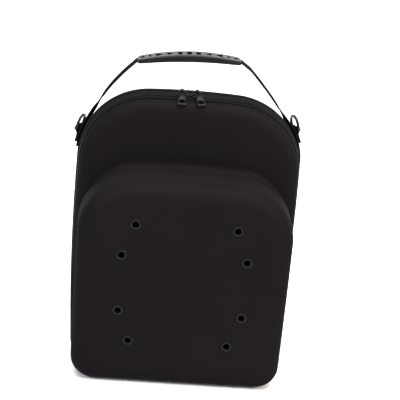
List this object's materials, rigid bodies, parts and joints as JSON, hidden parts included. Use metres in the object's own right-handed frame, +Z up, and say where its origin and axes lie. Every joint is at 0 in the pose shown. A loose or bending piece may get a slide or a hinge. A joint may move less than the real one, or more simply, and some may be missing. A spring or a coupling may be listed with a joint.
{
  "type": "cap carrier",
  "caption": "Moulded hard-shell case for baseball caps, with a zip round its sides, a vented crown bulge, a webbing handle with a moulded grip, and rings for a shoulder strap.",
  "frame": {"origin": "middle of the base, on the surface that the case stands on, in the plane where the front half meets the zip", "axes": "+Z up along the case, +Y to the flat back, +X to the right seen from the vented front"},
  "size_m": [0.272, 0.1424, 0.3737],
  "materials": {
    "shell_cloth": "fine black cloth moulded over foam",
    "zip_tape": "woven tape",
    "webbing": "woven webbing",
    "dark_metal": "black lacquered metal",
    "hard_plastic": "moulded black plastic"
  },
  "bodies": {
    "case": {"front_shell": "shell_cloth", "back_shell": "shell_cloth", "eyelet_1": "dark_metal", "eyelet_2": "dark_metal", "eyelet_3": "dark_metal", "eyelet_4": "dark_metal", "eyelet_5": "dark_metal", "eyelet_6": "dark_metal", "eyelet_7": "dark_metal", "eyelet_8": "dark_metal", "zip_tape_front": "zip_tape", "zip_tape_back": "zip_tape", "zip_teeth_front": "hard_plastic", "zip_teeth_back": "hard_plastic", "hinge_band": "zip_tape", "zip_slider_left": "dark_metal", "zip_slider_right": "dark_metal", "handle_strap": "webbing", "handle_grip": "hard_plastic", "ring_tab_left": "webbing", "ring_tab_right": "webbing"},
    "pull_left": {"zip_pull_left": "dark_metal"},
    "pull_right": {"zip_pull_right": "dark_metal"},
    "ring_left": {"d_ring_left": "hard_plastic"},
    "ring_right": {"d_ring_right": "hard_plastic"}
  },
  "joints": [
    {"name": "pull_left_swing", "type": "hinge", "parent": "case", "child": "pull_left", "pos_m": [-0.01529, 0.01081, 0.3381], "axis": [-0.9999, 0, -0.0166], "range_deg": [0, 160]},
    {"name": "pull_right_swing", "type": "hinge", "parent": "case", "child": "pull_right", "pos_m": [0.00241, 0.01081, 0.33822], "axis": [-0.9783, -0.1899, -0.0823], "range_deg": [0, 160]},
    {"name": "ring_left_swing", "type": "hinge", "parent": "case", "child": "ring_left", "pos_m": [-0.13193, 0.05323, 0.27498], "axis": [-0.2696, -0.9613, 0.0573], "range_deg": [0, 140]},
    {"name": "ring_right_swing", "type": "hinge", "parent": "case", "child": "ring_right", "pos_m": [0.12459, 0.05323, 0.29214], "axis": [-0.2518, 0.9613, -0.1121], "range_deg": [0, 140]}
  ]
}
